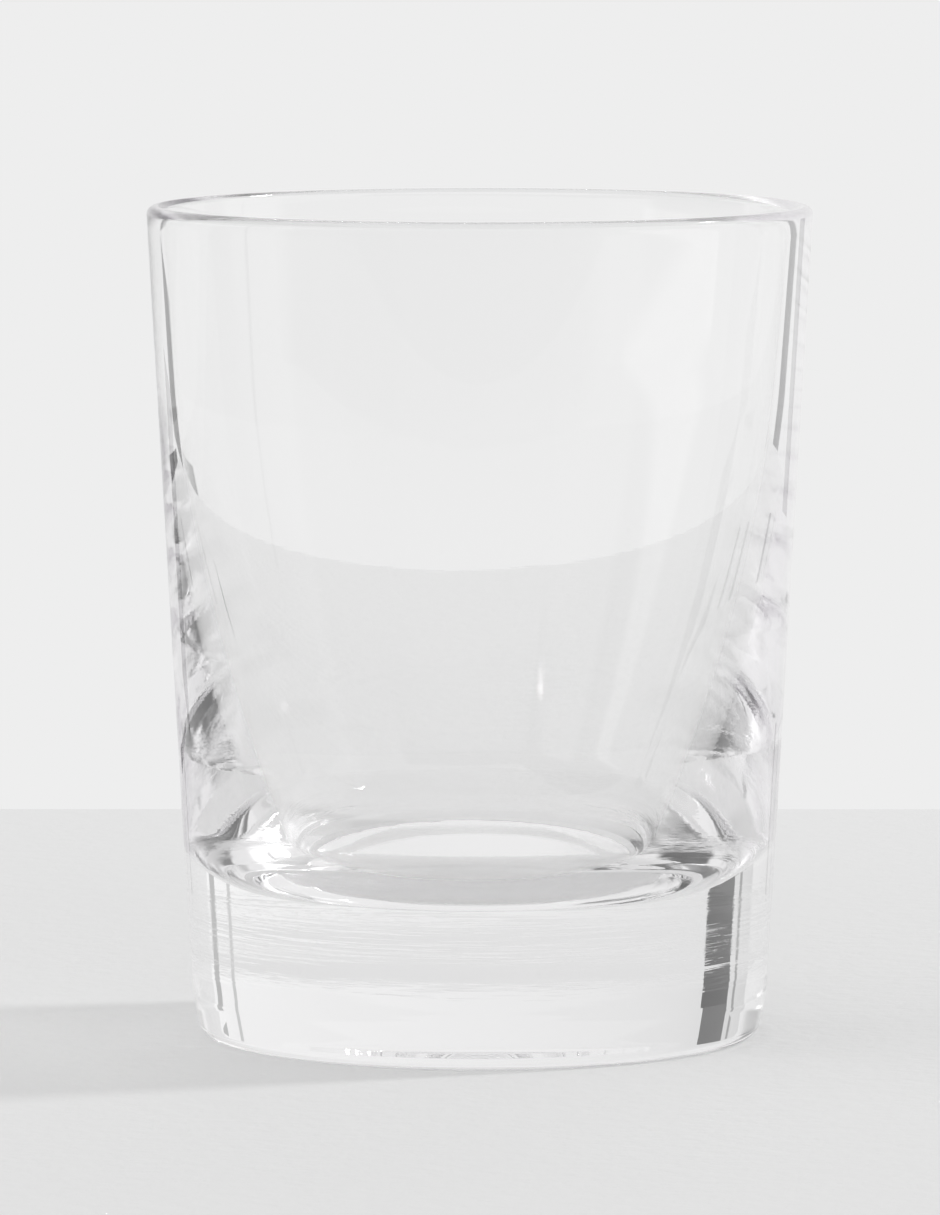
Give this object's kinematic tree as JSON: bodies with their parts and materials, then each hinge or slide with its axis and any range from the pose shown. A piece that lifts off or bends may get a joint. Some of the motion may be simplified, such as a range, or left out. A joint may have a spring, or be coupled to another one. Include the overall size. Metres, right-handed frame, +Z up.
{
  "type": "water glass",
  "caption": "Clear tumbler with a slight outward taper, a thick solid base with a rounded heel, a round-bottomed cavity and a fire-polished lip, for drinking water.",
  "frame": {"origin": "centre of the ring the glass stands on, at table level", "axes": "+Z up along the axis of the glass to the lip; the glass is the same all round, so X and Y are free, and -Y faces the camera of the picture"},
  "size_m": [0.0838, 0.0838, 0.105],
  "materials": {
    "glass": "clear colourless soda-lime glass, fire-polished"
  },
  "bodies": {
    "root": {"base": "glass", "side_wall": "glass", "rim": "glass"}
  },
  "joints": []
}
